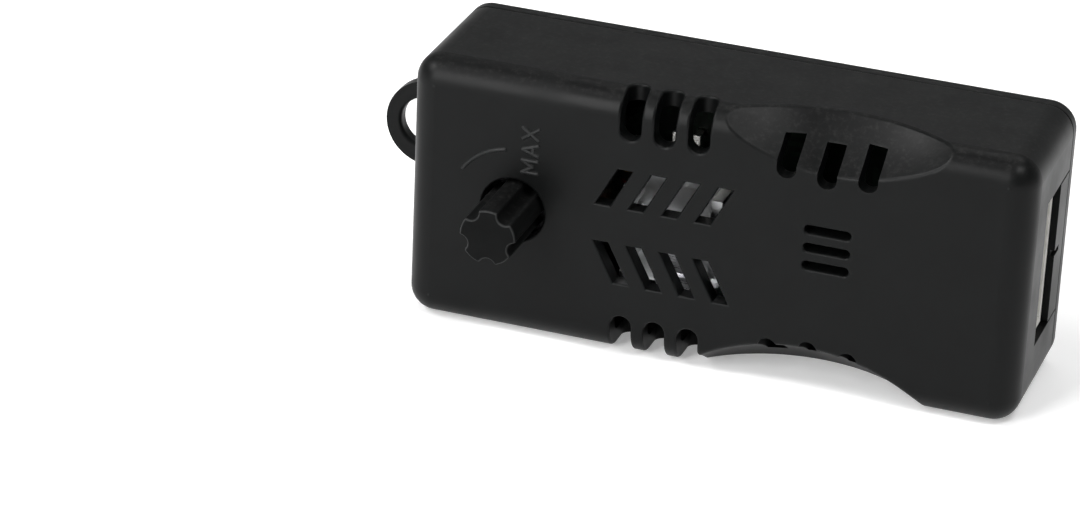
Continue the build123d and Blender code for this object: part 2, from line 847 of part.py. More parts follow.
def sink_screw():
    """The screw through heat sink, pad and tab, its head in the channel."""
    y_seat = y_sink - sink_base
    y_end = y_tab + tab_thickness + sink_nut_height + sink_screw_end
    screw = rod_y(x_vents, z_tab_hole, sink_screw_radius, y_seat, y_end)
    screw += rod_y(x_vents, z_tab_hole, sink_screw_head_radius, y_seat - sink_screw_head_height, y_seat)
    slim = recess_width / 2
    y_slot = y_seat - sink_screw_head_height
    return screw - block(
        x_vents - 2 * sink_screw_head_radius, x_vents + 2 * sink_screw_head_radius,
        y_slot - cut_margin, y_slot + recess_depth, z_tab_hole - slim, z_tab_hole + slim,
    )


def sink_nut():
    """The hexagon nut behind the tab."""
    y0 = y_tab + tab_thickness
    y1 = y0 + sink_nut_height
    corner_radius = sink_nut_flats / sqrt(3)
    nut = front_cut(Pos(x_vents, z_tab_hole) * RegularPolygon(corner_radius, 6), y1, y0)
    return nut - rod_y(x_vents, z_tab_hole, sink_screw_radius + thread_gap, y0 - cut_margin, y1 + cut_margin)


def capacitor(name, height):
    """A round can that stands on the board, with the rolled groove near its foot."""
    x, z, radius, pitch = can_centres()[name]
    can = rod_y(x, z, radius, y_board - height, y_board)
    y_groove = y_board - can_groove_rise
    groove = rod_y(x, z, radius + cut_margin, y_groove - can_groove, y_groove + can_groove)
    groove -= rod_y(x, z, radius - can_groove, y_groove - cut_margin, y_groove + cut_margin)
    can = fillet(can.edges().sort_by(Axis.Y)[0], can_groove)
    return can - groove


def capacitor_leads(name):
    """Two straight leads from the foot of a can through the board."""
    return [rod_y(x, z, can_lead_radius, y_board, y_tail) for x, z in can_lead_points(name)]


def axial_bodies(name):
    """The bodies of the parts that lie along Z."""
    bodies = []
    for x, radius, length in axial_places()[name]:
        y = y_board - axial_board_gap - radius
        bodies.append(rod_z(x, y, radius, z_mid - length / 2, z_mid + length / 2))
    return bodies


def axial_leads(name):
    """Leads that leave both ends of a body and bend into the board."""
    leads = []
    for x, radius, length in axial_places()[name]:
        y = y_board - axial_board_gap - radius
        for way in (-1, 1):
            z_body = z_mid + way * length / 2
            z_bend = z_mid + way * axial_pitch / 2
            lead = rod_z(x, y, axial_lead_radius, min(z_body, z_bend), max(z_body, z_bend))
            lead += rod_y(x, z_bend, axial_lead_radius, y, y_tail)
            lead += Pos(x, y, z_bend) * Sphere(axial_lead_radius)
            leads.append(lead)
    return leads


def save(name, shapes):
    """Writes one node; several solids stay separate in it."""
    shape = Compound(shapes) if isinstance(shapes, list) else shapes
    export_step(shape, f"parts/{name}.step")


os.makedirs("parts", exist_ok=True)
save("front_shell", front_shell())
save("back_cover", back_cover())
save("cover_screws", cover_screws())
save("circuit_board", circuit_board())
save("board_screws", board_screws())
save("socket_housing", socket_housing())
save("socket_pins", socket_pins())
save("pot_body", pot_body())
save("pot_bushing", pot_bushing())
save("pot_wafer", pot_wafer())
save("pot_terminals", pot_terminals())
save("pot_shaft", pot_shaft())
save("pot_wiper", pot_wiper())
save("speed_knob", speed_knob())
save("regulator_body", regulator_body())
save("regulator_tab", regulator_tab())
save("regulator_leads", regulator_leads())
save("insulating_pad", insulating_pad())
save("heat_sink", heat_sink())
save("sink_screw", sink_screw())
save("sink_nut", sink_nut())
save("input_capacitor", capacitor("input", input_can_height))
save("input_capacitor_leads", capacitor_leads("input"))
save("output_capacitor", capacitor("output", output_can_height))
save("output_capacitor_leads", capacitor_leads("output"))
save("diode_body", axial_bodies("diode"))
save("diode_leads", axial_leads("diode"))
save("resistor_bodies", axial_bodies("resistor"))
save("resistor_leads", axial_leads("resistor"))
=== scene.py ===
import logging
import math
from dataclasses import dataclass
from enum import Enum
from functools import cache
from typing import Protocol

import bpy
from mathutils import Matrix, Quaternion, Vector


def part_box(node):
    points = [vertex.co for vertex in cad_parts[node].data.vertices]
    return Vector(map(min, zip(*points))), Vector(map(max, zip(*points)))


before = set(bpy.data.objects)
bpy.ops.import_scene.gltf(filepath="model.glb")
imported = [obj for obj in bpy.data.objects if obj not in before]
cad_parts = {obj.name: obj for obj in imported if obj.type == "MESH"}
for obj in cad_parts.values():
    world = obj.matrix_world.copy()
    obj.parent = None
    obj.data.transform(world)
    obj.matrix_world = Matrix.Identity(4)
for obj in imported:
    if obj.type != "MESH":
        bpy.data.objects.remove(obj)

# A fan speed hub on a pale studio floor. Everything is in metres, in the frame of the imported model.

LOG = logging.getLogger("fan_speed_hub")
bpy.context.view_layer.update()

Triple = tuple[float, float, float]
Source = bpy.types.NodeSocket | float | tuple[float, ...]


class Graph:
    """A node tree with short calls for adding and joining nodes."""

    def __init__(self, tree: bpy.types.NodeTree) -> None:
        """Keeps the node tree that the calls work on."""
        self.tree = tree

    def feed(self, target: bpy.types.NodeSocket, source: Source) -> None:
        """Sets an input from a constant, or links a socket to it.

        Args:
            target: The input.
            source: The constant or the output socket.
        """
        if isinstance(source, bpy.types.NodeSocket):
            self.tree.links.new(source, target)
        elif target.type == "RGBA":
            target.default_value = (*source[:3], 1.0)
        else:
            target.default_value = source

    def add(
        self, kind: str, feeds: dict[str | int, Source] | None = None, **settings: object
    ) -> bpy.types.Node:
        """Adds a node, sets its options and feeds its inputs.

        Args:
            kind: The node's type, without the prefix that shader nodes share.
            feeds: Input names or numbers, each with a constant or a socket.
            settings: Options of the node itself.

        Returns:
            The new node.
        """
        node = self.tree.nodes.new(f"ShaderNode{kind}")
        for name, value in settings.items():
            setattr(node, name, value)
        for name, source in (feeds or {}).items():
            self.feed(node.inputs[name], source)
        return node

    def math(self, operation: str, first: Source, second: Source = 0.0) -> bpy.types.NodeSocket:
        """Adds a maths node.

        Args:
            operation: The maths operation.
            first: Its first value.
            second: Its second value.

        Returns:
            The result.
        """
        return self.add("Math", {0: first, 1: second}, operation=operation).outputs[0]

    def vector(self, operation: str, first: Source, second: Source) -> bpy.types.bpy_prop_collection:
        """Adds a vector maths node.

        Args:
            operation: The maths operation.
            first: Its first vector.
            second: Its second vector.

        Returns:
            The node's outputs, Vector and Value.
        """
        return self.add("VectorMath", {0: first, 1: second}, operation=operation).outputs

    def split(self, vector: Source) -> bpy.types.bpy_prop_collection:
        """Gives the X, Y and Z outputs of a vector."""
        return self.add("SeparateXYZ", {"Vector": vector}).outputs

    def ramp(
        self, value: Source, low: float, high: float, start: float = 0.0, end: float = 1.0
    ) -> bpy.types.NodeSocket:
        """Maps one range of values smoothly to another.

        Args:
            value: The value to map.
            low: The value that gives start.
            high: The value that gives end.
            start: The result at low and before it.
            end: The result at high and past it.

        Returns:
            The result.
        """
        feeds = {"Value": value, "From Min": low, "From Max": high, "To Min": start, "To Max": end}
        return self.add("MapRange", feeds, interpolation_type="SMOOTHSTEP").outputs["Result"]

    def blend(self, amount: Source, first: Source, second: Source) -> bpy.types.NodeSocket:
        """Mixes two colours.

        Args:
            amount: How much of the second colour shows.
            first: The first colour.
            second: The second colour.

        Returns:
            The mixed colour.
        """
        return self.add("Mix", {0: amount, 6: first, 7: second}, data_type="RGBA").outputs[2]

    def noise(
        self, place: Source, scale: Source, detail: float = 3.0, rough: float = 0.5
    ) -> bpy.types.NodeSocket:
        """Adds a noise texture.

        Args:
            place: The coordinates.
            scale: The noise's scale.
            detail: Its octaves.
            rough: How strong the fine octaves are.

        Returns:
            The noise value.
        """
        feeds = {"Vector": place, "Scale": scale, "Detail": detail, "Roughness": rough}
        return self.add("TexNoise", feeds).outputs["Fac"]


class Effect(Graph):
    """A shared surface effect: a shader node group that gives values over the surface."""

    def __init__(self, name: str, inputs: tuple[str, ...], outputs: tuple[str, ...]) -> None:
        """Starts the group, whose first input is a Vector.

        Args:
            name: The group's name.
            inputs: The names of its float inputs.
            outputs: The names of its float outputs.
        """
        super().__init__(bpy.data.node_groups.new(name, "ShaderNodeTree"))
        face = self.tree.interface
        face.new_socket("Vector", in_out="INPUT", socket_type="NodeSocketVector")
        for socket in inputs:
            face.new_socket(socket, in_out="INPUT", socket_type="NodeSocketFloat")
        for socket in outputs:
            face.new_socket(socket, in_out="OUTPUT", socket_type="NodeSocketFloat")
        self.given = self.tree.nodes.new("NodeGroupInput").outputs
        self.result = self.tree.nodes.new("NodeGroupOutput").inputs


class MouldGrain(Effect):
    """The fine pitted skin that a spark-eroded mould leaves, with slow clouds of sheen."""

    def __init__(self) -> None:
        """Builds the group."""
        super().__init__("mould_grain", ("Scale", "Cloud Scale"), ("Height", "Cloud"))
        place, scale = self.given["Vector"], self.given["Scale"]
        pits = self.add("TexVoronoi", {"Vector": place, "Scale": scale}, feature="SMOOTH_F1")
        height = self.math("ADD", pits.outputs["Distance"], self.noise(place, scale))
        self.feed(self.result["Height"], height)
        self.feed(self.result["Cloud"], self.noise(place, self.given["Cloud Scale"], 4.0, 0.55))


class EdgeRub(Effect):
    """The polish that handling leaves along edges."""

    FLAT, BENT = 0.995, 0.86
    BREAK_LOW, BREAK_HIGH = 0.32, 0.68

    def __init__(self) -> None:
        """Builds the group."""
        super().__init__("edge_rub", ("Width", "Break Scale"), ("Mask",))
        rounded = self.add("Bevel", {"Radius": self.given["Width"]}, samples=4).outputs["Normal"]
        sharp = self.add("NewGeometry").outputs["Normal"]
        agreement = self.vector("DOT_PRODUCT", rounded, sharp)["Value"]
        bent = self.ramp(agreement, self.FLAT, self.BENT)
        patches = self.noise(self.given["Vector"], self.given["Break Scale"])
        breaks = self.ramp(patches, self.BREAK_LOW, self.BREAK_HIGH)
        self.feed(self.result["Mask"], self.math("MULTIPLY", bent, breaks))


class SettledDust(Effect):
    """The thin dust that lies on what faces up."""

    STEEP, LEVEL = 0.3, 0.95
    BARE, COVERED = 0.45, 0.8

    def __init__(self) -> None:
        """Builds the group."""
        super().__init__("settled_dust", ("Scale",), ("Mask",))
        upward = self.split(self.add("TexCoord").outputs["Normal"])["Z"]
        cloud = self.noise(self.given["Vector"], self.given["Scale"], 6.0, 0.7)
        specks = self.ramp(cloud, self.BARE, self.COVERED)
        lying = self.ramp(upward, self.STEEP, self.LEVEL)
        self.feed(self.result["Mask"], self.math("MULTIPLY", lying, specks))


class DrawnStreaks(Effect):
    """The drawn lines of rolled or turned metal, with clouds of tarnish."""

    def __init__(self) -> None:
        """Builds the group."""
        super().__init__("drawn_streaks", ("Across", "Along", "Cloud Scale"), ("Line", "Cloud"))
        place, across = self.given["Vector"], self.given["Across"]
        stretch = self.add("CombineXYZ", {"X": self.given["Along"], "Y": across, "Z": across}).outputs[0]
        lines = self.vector("MULTIPLY", place, stretch)["Vector"]
        self.feed(self.result["Line"], self.noise(lines, 1.0, 4.0, 0.6))
        self.feed(self.result["Cloud"], self.noise(place, self.given["Cloud Scale"], 4.0))


GRAIN = MouldGrain()
RUB = EdgeRub()
DUST = SettledDust()
STREAKS = DrawnStreaks()


class Coat(Graph):
    """A material in the making: its nodes, its Principled shader and its Object coordinates."""

    def __init__(self, name: str) -> None:
        """Starts a material of this name."""
        self.material = bpy.data.materials.new(name)
        self.material.use_nodes = True
        super().__init__(self.material.node_tree)
        self.shader = self.tree.nodes["Principled BSDF"]
        self.coordinates = self.add("TexCoord").outputs
        self.place = self.coordinates["Object"]

    def effect(self, effect: Effect, **feeds: Source) -> bpy.types.bpy_prop_collection:
        """Places a shared effect on the piece's own coordinates.

        Args:
            effect: The effect.
            feeds: Its other inputs, named with underscores for spaces.

        Returns:
            The effect's outputs.
        """
        node = self.add("Group", node_tree=effect.tree)
        self.feed(node.inputs["Vector"], self.place)
        for name, source in feeds.items():
            self.feed(node.inputs[name.replace("_", " ")], source)
        return node.outputs

    def wear(self, **feeds: Source) -> None:
        """Feeds inputs of the shader, named with underscores for spaces."""
        for name, source in feeds.items():
            self.feed(self.shader.inputs[name.replace("_", " ")], source)

    def bump(self, height: Source, depth: float, edge_round: float) -> None:
        """Softens sharp edges in the shader's normal, and adds bump to it.

        Args:
            height: The bump's height.
            depth: How deep a height of 1 is, in metres.
            edge_round: The radius of the softened edges.
        """
        soft = self.add("Bevel", {"Radius": edge_round}, samples=4).outputs["Normal"]
        bump = self.add("Bump", {"Height": height, "Distance": depth, "Normal": soft})
        self.wear(Normal=bump.outputs["Normal"])

    def radial(self, x: float, z: float) -> tuple[bpy.types.NodeSocket, bpy.types.NodeSocket]:
        """Measures the surface round an axis that runs along Y.

        Args:
            x: The axis's X.
            z: The axis's Z.

        Returns:
            The distance from the axis, and the angle round it from +Z.
        """
        parts = self.split(self.vector("SUBTRACT", self.place, (x, 0.0, z))["Vector"])
        flat = self.add("CombineXYZ", {"X": parts["X"], "Z": parts["Z"]}).outputs[0]
        distance = self.add("VectorMath", {0: flat}, operation="LENGTH").outputs["Value"]
        return distance, self.math("ARCTAN2", parts["X"], parts["Z"])


class Finish(Protocol):
    """Anything that makes a material."""

    def build(self) -> bpy.types.Material:
        """Makes the material."""


@dataclass(frozen=True)
class MouldedPlastic:
    """Moulded plastic with a fine skin, edges worn paler by handling, and a little dust."""

    name: str
    colour: Triple
    wear_and_highlight: Triple
    roughness: float = 0.42
    spread: float = 0.1
    gloss: float = 0.5
    grain_scale: float = 5200.0
    grain_depth: float = 0.000003
    cloud_scale: float = 140.0
    cloud_shade: float = 0.25
    edge_round: float = 0.00012
    rub_width: float = 0.00035
    rub_break_scale: float = 900.0
    dust: float = 0.05
    dust_scale: float = 1600.0
    dust_colour: Triple = (0.3, 0.29, 0.28)

    def build(self) -> bpy.types.Material:
        """Makes the material.

        Returns:
            The material.
        """
        coat = Coat(self.name)
        self.lay(coat, self.colour)
        return coat.material

    def lay(self, coat: Coat, ground: Source) -> None:
        """Lays the skin, the rub and the dust over a ground colour.

        Args:
            coat: The material in the making.
            ground: The colour under them.
        """
        grain = coat.effect(GRAIN, Scale=self.grain_scale, Cloud_Scale=self.cloud_scale)
        wear_and_highlight = coat.effect(RUB, Width=self.rub_width, Break_Scale=self.rub_break_scale)["Mask"]
        dusty = coat.math("MULTIPLY", coat.effect(DUST, Scale=self.dust_scale)["Mask"], self.dust)
        shade = coat.ramp(grain["Cloud"], 0.3, 0.7, self.cloud_shade, 0.0)
        toned = coat.blend(shade, ground, (0.0, 0.0, 0.0))
        worn = coat.blend(wear_and_highlight, toned, self.wear_and_highlight)
        low, high = self.roughness - self.spread / 2, self.roughness + self.spread / 2
        coat.wear(
            Base_Color=coat.blend(dusty, worn, self.dust_colour),
            Roughness=coat.ramp(grain["Cloud"], 0.25, 0.75, low, high),
            Specular_IOR_Level=self.gloss,
        )
        coat.bump(grain["Height"], self.grain_depth, self.edge_round)


@dataclass(frozen=True)
class ProudHighlight:
    """Moulded plastic with a painted highlight: paler where it stands proud at the front, standing in for
    the light that catches raised edges.
    """

    name: str
    skin: MouldedPlastic
    start: float
    full: float
    pale: Triple
    flat_share: float = 1.0
    flat_normal: float = -0.97
    side_normal: float = -0.8

    def build(self) -> bpy.types.Material:
        """Makes the material.

        Returns:
            The material.
        """
        coat = Coat(self.name)
        # Painted highlight: the colour turns paler towards the most forward surface, where light would
        # catch raised marks and rims.
        proud = coat.ramp(coat.split(coat.place)["Y"], self.start, self.full)
        facing = coat.split(coat.coordinates["Normal"])["Y"]
        sides = coat.ramp(facing, self.flat_normal, self.side_normal, self.flat_share, 1.0)
        wear_and_highlight = coat.math("MULTIPLY", proud, sides)
        self.skin.lay(coat, coat.blend(wear_and_highlight, self.skin.colour, self.pale))
        return coat.material


@dataclass(frozen=True)
class PlatedMetal:
    """Rolled, drawn or plated metal with fine streaks and a little tarnish."""

    name: str
    colour: Triple
    dull: Triple
    roughness: float = 0.3
    across: float = 9000.0
    along: float = 700.0
    streak_depth: float = 0.000002
    cloud_scale: float = 320.0
    tarnish: float = 0.6
    roughness_span: tuple[float, float] = (0.75, 1.3)
    edge_round: float = 0.00008

    def build(self) -> bpy.types.Material:
        """Makes the material.

        Returns:
            The material.
        """
        coat = Coat(self.name)
        streaks = coat.effect(STREAKS, Across=self.across, Along=self.along, Cloud_Scale=self.cloud_scale)
        tarnish = coat.ramp(streaks["Cloud"], 0.4, 0.75, 0.0, self.tarnish)
        low, high = (share * self.roughness for share in self.roughness_span)
        coat.wear(
            Base_Color=coat.blend(tarnish, self.colour, self.dull),
            Metallic=1.0,
            Roughness=coat.ramp(streaks["Line"], 0.3, 0.7, low, high),
        )
        coat.bump(streaks["Line"], self.streak_depth, self.edge_round)
        return coat.material


@dataclass(frozen=True)
class BandedBody:
    """A component body with painted bands up its height."""

    skin: MouldedPlastic
    low: float
    high: float
    bands: tuple[tuple[float, Triple], ...]
    band_share: float = 0.09

    def build(self) -> bpy.types.Material:
        """Makes the material.

        Returns:
            The material.
        """
        coat = Coat(self.skin.name)
        height = coat.math("SUBTRACT", coat.split(coat.place)["Z"], self.low)
        share = coat.math("DIVIDE", height, self.high - self.low)
        ground: Source = self.skin.colour
        for centre, colour in self.bands:
            away = coat.math("ABSOLUTE", coat.math("SUBTRACT", share, centre))
            ground = coat.blend(coat.math("LESS_THAN", away, self.band_share / 2), ground, colour)
        self.skin.lay(coat, ground)
        return coat.material


@dataclass(frozen=True)
class PrintedSleeve:
    """A capacitor's shrunk sleeve: a pale stripe down the side, and the bare can inside the top's rim."""

    skin: MouldedPlastic
    x: float
    z: float
    radius: float
    stripe: Triple = (0.52, 0.53, 0.55)
    can: Triple = (0.72, 0.73, 0.74)
    stripe_centre: float = 2.3
    stripe_half: float = 0.42
    rim: float = 0.0007
    top_normal: float = -0.8

    def build(self) -> bpy.types.Material:
        """Makes the material.

        Returns:
            The material.
        """
        coat = Coat(self.skin.name)
        distance, angle = coat.radial(self.x, self.z)
        turned = coat.math("ABSOLUTE", coat.math("SUBTRACT", angle, self.stripe_centre))
        printed = coat.math("LESS_THAN", turned, self.stripe_half)
        facing = coat.math("LESS_THAN", coat.split(coat.coordinates["Normal"])["Y"], self.top_normal)
        within = coat.math("LESS_THAN", distance, self.radius - self.rim)
        bare = coat.math("MULTIPLY", facing, within)
        ground = coat.blend(printed, self.skin.colour, self.stripe)
        self.skin.lay(coat, coat.blend(bare, ground, self.can))
        coat.wear(Metallic=bare)
        return coat.material


@dataclass(frozen=True)
class SolderMask:
    """A circuit board's lacquer over bundles of copper tracks."""

    skin: MouldedPlastic
    track: Triple = (0.005, 0.012, 0.007)
    pitch: float = 0.00127
    track_share: float = 0.5
    bundle_scale: float = 95.0
    level_above: float = 0.54
    upright_below: float = 0.45

    def build(self) -> bpy.types.Material:
        """Makes the material.

        Returns:
            The material.
        """
        coat = Coat(self.skin.name)
        parts = coat.split(coat.place)
        choice = coat.noise(coat.place, self.bundle_scale, 0.0)
        in_level = coat.math("GREATER_THAN", choice, self.level_above)
        in_upright = coat.math("LESS_THAN", choice, self.upright_below)
        level = coat.math("MULTIPLY", self.line(coat, parts["Z"]), in_level)
        upright = coat.math("MULTIPLY", self.line(coat, parts["X"]), in_upright)
        tracks = coat.math("MAXIMUM", level, upright)
        self.skin.lay(coat, coat.blend(tracks, self.skin.colour, self.track))
        return coat.material

    def line(self, coat: Coat, value: Source) -> bpy.types.NodeSocket:
        """Gives 1 on parallel tracks and 0 between them.

        Args:
            coat: The material in the making.
            value: The coordinate across the tracks.

        Returns:
            The mask.
        """
        phase = coat.math("FRACT", coat.math("DIVIDE", value, self.pitch))
        return coat.math("LESS_THAN", phase, self.track_share)


@dataclass(frozen=True)
class CarbonTrack:
    """A potentiometer's wafer: pressed paper board with a dark resistance track round the axis."""

    skin: MouldedPlastic
    x: float
    z: float
    inner: float
    outer: float
    carbon: Triple = (0.012, 0.012, 0.013)

    def build(self) -> bpy.types.Material:
        """Makes the material.

        Returns:
            The material.
        """
        coat = Coat(self.skin.name)
        distance, _ = coat.radial(self.x, self.z)
        outside = coat.math("GREATER_THAN", distance, self.inner)
        inside = coat.math("LESS_THAN", distance, self.outer)
        ring = coat.math("MULTIPLY", outside, inside)
        self.skin.lay(coat, coat.blend(ring, self.skin.colour, self.carbon))
        return coat.material


class Plastic(Enum):
    """The moulded finishes."""

    CASE = MouldedPlastic(
        "case_black", (0.0029, 0.0033, 0.0033), (0.009, 0.0095, 0.0095), 0.4, gloss=0.14
    )
    KNOB = MouldedPlastic(
        "knob_black", (0.0072, 0.0075, 0.0075), (0.014, 0.0145, 0.0145), 0.45, gloss=0.03
    )
    SOCKET = MouldedPlastic("socket_nylon", (0.72, 0.71, 0.67), (0.78, 0.77, 0.74), gloss=0.4)
    RESIN = MouldedPlastic(
        "black_resin", (0.012, 0.012, 0.013), (0.03, 0.03, 0.03), roughness=0.5, gloss=0.3
    )
    MASK = MouldedPlastic(
        "green_mask", (0.003, 0.006, 0.004), (0.012, 0.02, 0.014), roughness=0.5, gloss=0.1
    )
    PAPER = MouldedPlastic(
        "brown_wafer", (0.13, 0.065, 0.03), (0.2, 0.12, 0.06), roughness=0.6, gloss=0.3
    )
    PAD = MouldedPlastic("grey_pad", (0.3, 0.31, 0.32), (0.36, 0.36, 0.37), roughness=0.7, gloss=0.3)
    SLEEVE = MouldedPlastic(
        "dark_sleeve", (0.012, 0.014, 0.03), (0.05, 0.05, 0.07), roughness=0.3, gloss=0.4
    )
    LACQUER = MouldedPlastic(
        "tan_lacquer", (0.05, 0.036, 0.024), (0.07, 0.052, 0.036), roughness=0.45, gloss=0.2
    )


class Metal(Enum):
    """The metal finishes."""

    TIN = PlatedMetal("bright_tin", (0.78, 0.77, 0.74), (0.55, 0.54, 0.52))
    NICKEL = PlatedMetal("nickel_plate", (0.66, 0.65, 0.62), (0.45, 0.44, 0.42))
    BRASS = PlatedMetal("spring_brass", (0.78, 0.58, 0.26), (0.5, 0.36, 0.16))
    ALUMINIUM = PlatedMetal("pressed_aluminium", (0.9, 0.91, 0.92), (0.7, 0.71, 0.72), roughness=0.4)
    CAST = PlatedMetal("dull_casting", (0.14, 0.14, 0.145), (0.08, 0.08, 0.085), roughness=0.55)
    ZINC = PlatedMetal("zinc_plate", (0.6, 0.6, 0.62), (0.4, 0.4, 0.42))
    BLACKED = PlatedMetal("black_oxide", (0.06, 0.06, 0.063), (0.03, 0.03, 0.032), roughness=0.42)


class Paint(Enum):
    """The colours of painted bands."""

    BROWN = (0.05, 0.016, 0.006)
    BLACK = (0.006, 0.006, 0.006)
    RED = (0.16, 0.01, 0.008)
    GOLD = (0.16, 0.1, 0.025)
    SILVER = (0.4, 0.4, 0.4)


@cache
def material_of(finish: Finish) -> bpy.types.Material:
    """Builds a finish once."""
    return finish.build()


def dress(finish: Finish, *names: str) -> None:
    """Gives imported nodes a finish.

    Args:
        finish: The finish.
        names: The nodes' names.
    """
    for name in names:
        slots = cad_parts[name].data.materials
        slots.clear()
        slots.append(material_of(finish))
        LOG.info("%s wears %s", name, slots[0].name)


def centre_of(node: str) -> Vector:
    """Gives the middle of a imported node's box."""
    low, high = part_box(node)
    return (Vector(low) + Vector(high)) / 2


@dataclass
class MouldedCase:
    """The front shell, the back cover and the cover's screws."""

    skin: Plastic = Plastic.CASE
    screws: Metal = Metal.BLACKED
    mark_height: float = 0.0002
    mark_foot_share: float = 0.9
    # Colour of the painted highlight on the raised marks.
    mark_highlight: Triple = (0.024, 0.025, 0.025)

    def build(self) -> None:
        """Dresses the case, with a painted highlight on its raised marks."""
        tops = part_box("front_shell")[0][1]
        foot = tops + self.mark_foot_share * self.mark_height
        # Painted highlight: the raised marks are coloured pale in place of the light that catches their
        # edges.
        dress(ProudHighlight("marks_painted_highlight", self.skin.value, foot, tops, self.mark_highlight), "front_shell")
        dress(self.skin.value, "back_cover")
        dress(self.screws.value, "cover_screws")


@dataclass
class SpeedKnob:
    """The fluted knob that sticks out of the front."""

    skin: Plastic = Plastic.KNOB
    rim: float = 0.0004
    # Colour of the painted highlight round the rim of the knob's end.
    rim_highlight: Triple = (0.04, 0.041, 0.041)

    def build(self) -> None:
        """Dresses the knob, with a painted highlight round the rim of its end."""
        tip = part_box("speed_knob")[0][1]
        # Painted highlight: the sides within the rim's depth of the tip are coloured pale in place of the
        # light that catches the rim; the flat end keeps the knob's colour.
        wear_and_highlight = ProudHighlight("knob_rim_painted_highlight", self.skin.value, tip + self.rim, tip, self.rim_highlight, 0.0)
        dress(wear_and_highlight, "speed_knob")


@dataclass
class PlugSocket:
    """The white socket in the end and its six pins."""

    shroud: Plastic = Plastic.SOCKET
    pins: Metal = Metal.TIN

    def build(self) -> None:
        """Dresses the socket."""
        dress(self.shroud.value, "socket_housing")
        dress(self.pins.value, "socket_pins")


@dataclass
class ControlPot:
    """The potentiometer behind the knob."""

    track_inner: float = 0.0032
    track_outer: float = 0.0046

    def build(self) -> None:
        """Dresses the potentiometer."""
        axis = centre_of("pot_shaft")
        track = CarbonTrack(Plastic.PAPER.value, axis.x, axis.z, self.track_inner, self.track_outer)
        dress(track, "pot_wafer")
        dress(Plastic.RESIN.value, "pot_body")
        dress(Metal.CAST.value, "pot_bushing")
        dress(Metal.NICKEL.value, "pot_shaft")
        dress(Metal.BRASS.value, "pot_wiper")
        dress(Metal.TIN.value, "pot_terminals")


@dataclass
class PowerStage:
    """The regulator and its heat sink."""

    sink: Metal = Metal.ALUMINIUM

    def build(self) -> None:
        """Dresses the power stage."""
        dress(self.sink.value, "heat_sink")
        dress(Plastic.RESIN.value, "regulator_body")
        dress(Plastic.PAD.value, "insulating_pad")
        dress(Metal.TIN.value, "regulator_tab", "regulator_leads")
        dress(Metal.ZINC.value, "sink_screw", "sink_nut")


@dataclass
class BoardParts:
    """The circuit board and the small parts that stand on it."""

    resistor_bands: tuple[tuple[float, Paint], ...] = (
        (0.2, Paint.BROWN),
        (0.38, Paint.BLACK),
        (0.56, Paint.RED),
        (0.82, Paint.GOLD),
    )
    diode_bands: tuple[tuple[float, Paint], ...] = ((0.85, Paint.SILVER),)
    leads: tuple[str, ...] = (
        "input_capacitor_leads",
        "output_capacitor_leads",
        "diode_leads",
        "resistor_leads",
    )

    def build(self) -> None:
        """Dresses the board and its parts."""
        dress(SolderMask(Plastic.MASK.value), "circuit_board")
        dress(Metal.ZINC.value, "board_screws")
        self.dress_can("input_capacitor")
        self.dress_can("output_capacitor")
        self.dress_banded("resistor_bodies", Plastic.LACQUER, self.resistor_bands)
        self.dress_banded("diode_body", Plastic.RESIN, self.diode_bands)
        dress(Metal.TIN.value, *self.leads)

    def dress_can(self, node: str) -> None:
        """Dresses a capacitor in its sleeve."""
        low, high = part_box(node)
        centre = centre_of(node)
        dress(PrintedSleeve(Plastic.SLEEVE.value, centre.x, centre.z, (high[0] - low[0]) / 2), node)

    def dress_banded(self, node: str, skin: Plastic, bands: tuple[tuple[float, Paint], ...]) -> None:
        """Dresses bodies that have painted bands.

        Args:
            node: The node's name.
            skin: The finish under the bands.
            bands: The bands' places as shares of the height, with their colours.
        """
        low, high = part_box(node)
        painted = tuple((share, paint.value) for share, paint in bands)
        dress(BandedBody(skin.value, low[2], high[2], painted), node)


@dataclass(frozen=True)
class Softbox:
    """A soft rectangular lamp."""

    name: str
    place: Triple
    size: tuple[float, float]
    brightness: float
    aim: Triple = (0.0, 0.0, 0.015)

    def build(self) -> None:
        """Hangs the lamp."""
        data = bpy.data.lights.new(self.name, "AREA")
        data.shape = "RECTANGLE"
        data.size, data.size_y = self.size
        data.energy = self.brightness * math.pi * self.size[0] * self.size[1]
        lamp = bpy.data.objects.new(self.name, data)
        lamp.location = self.place
        lamp.rotation_euler = (Vector(self.aim) - Vector(self.place)).to_track_quat("-Z", "Y").to_euler()
        bpy.context.scene.collection.objects.link(lamp)


